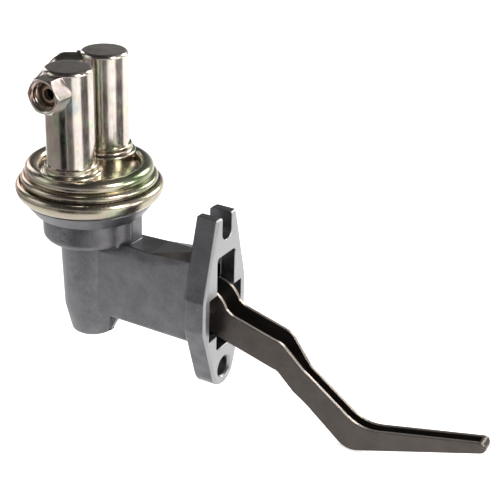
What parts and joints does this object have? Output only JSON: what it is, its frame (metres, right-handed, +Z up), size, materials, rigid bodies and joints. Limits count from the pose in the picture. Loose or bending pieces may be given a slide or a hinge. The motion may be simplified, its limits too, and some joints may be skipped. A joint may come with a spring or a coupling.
{
  "type": "mechanical fuel pump",
  "caption": "Rocker-driven diaphragm fuel pump: die-cast body with slotted flange, crimped stamped cover, two canister towers, flare outlet, bent inlet tube and cranked pressed arm.",
  "frame": {"origin": "Centre of the mounting flange's mating face, half way between its open slot and its bolt hole", "axes": "+X out of the mating face towards the engine, +Z up along the diaphragm's axis, +Y away from the outlet"},
  "size_m": [0.2901, 0.084, 0.1875],
  "materials": {
    "cast_aluminium": "die-cast aluminium, matt blue-grey skin, mating face machined bright",
    "yellow_zinc_steel": "zinc-plated steel with a gold-olive chromate that shows pink and green",
    "bright_zinc_steel": "bright zinc-plated steel with a faint chromate tint",
    "brass": "turned brass",
    "rubber": "fabric-backed fuel-proof rubber",
    "spring_steel": "oiled spring steel",
    "phosphated_steel": "dark phosphated pressed steel with lighter sheared edges",
    "ground_steel": "ground steel"
  },
  "bodies": {
    "housing": {"lower_body": "cast_aluminium", "crimp_ring": "yellow_zinc_steel", "upper_cover": "yellow_zinc_steel", "outlet_tower": "bright_zinc_steel", "inlet_tower": "bright_zinc_steel", "outlet_fitting": "bright_zinc_steel", "flare_seat": "brass", "inlet_tube": "bright_zinc_steel", "main_diaphragm": "rubber", "diaphragm_spring": "spring_steel", "oil_seal": "rubber", "seal_retainer": "spring_steel", "pivot_pin": "ground_steel", "rocker_spring": "spring_steel", "inlet_valve_cage": "brass", "outlet_valve_cage": "brass", "inlet_valve_spring": "spring_steel", "outlet_valve_spring": "spring_steel"},
    "rocker": {"rocker_arm": "phosphated_steel"},
    "diaphragm_rod": {"pull_rod": "spring_steel", "upper_plate": "bright_zinc_steel", "lower_plate": "bright_zinc_steel"},
    "return_cup": {"spring_cup": "spring_steel"},
    "inlet_disc": {"inlet_valve_disc": "rubber"},
    "outlet_disc": {"outlet_valve_disc": "rubber"}
  },
  "joints": [
    {"name": "rocker_pivot", "type": "hinge", "parent": "housing", "child": "rocker", "pos_m": [-0.0095, 0, -0.006], "axis": [0, -1, 0], "range_deg": [0, 4.5], "stiffness_Nm_per_rad": 1.2, "springref_deg": -34.38},
    {"name": "rod_slide", "type": "slide", "parent": "housing", "child": "diaphragm_rod", "axis": [0, 0, -1], "range_m": [0, 0.0065], "deforming": ["diaphragm_spring", "main_diaphragm"]},
    {"name": "cup_slide", "type": "slide", "parent": "housing", "child": "return_cup", "axis": [0, 0, -1], "range_m": [0, 0.0065], "deforming": ["rocker_spring"]},
    {"name": "inlet_valve_slide", "type": "slide", "parent": "housing", "child": "inlet_disc", "axis": [0, 0, -1], "range_m": [0, 0.0015], "stiffness_N_per_m": 40, "springref_m": -0.002, "deforming": ["inlet_valve_spring"]},
    {"name": "outlet_valve_slide", "type": "slide", "parent": "housing", "child": "outlet_disc", "axis": [0, 0, 1], "range_m": [0, 0.0015], "stiffness_N_per_m": 40, "springref_m": -0.002, "deforming": ["outlet_valve_spring"]}
  ],
  "couplings": [
    {"joint": "rod_slide", "follows": "rocker_pivot", "m_per_rad": 0.0816},
    {"joint": "cup_slide", "follows": "rocker_pivot", "m_per_rad": 0.0816}
  ]
}
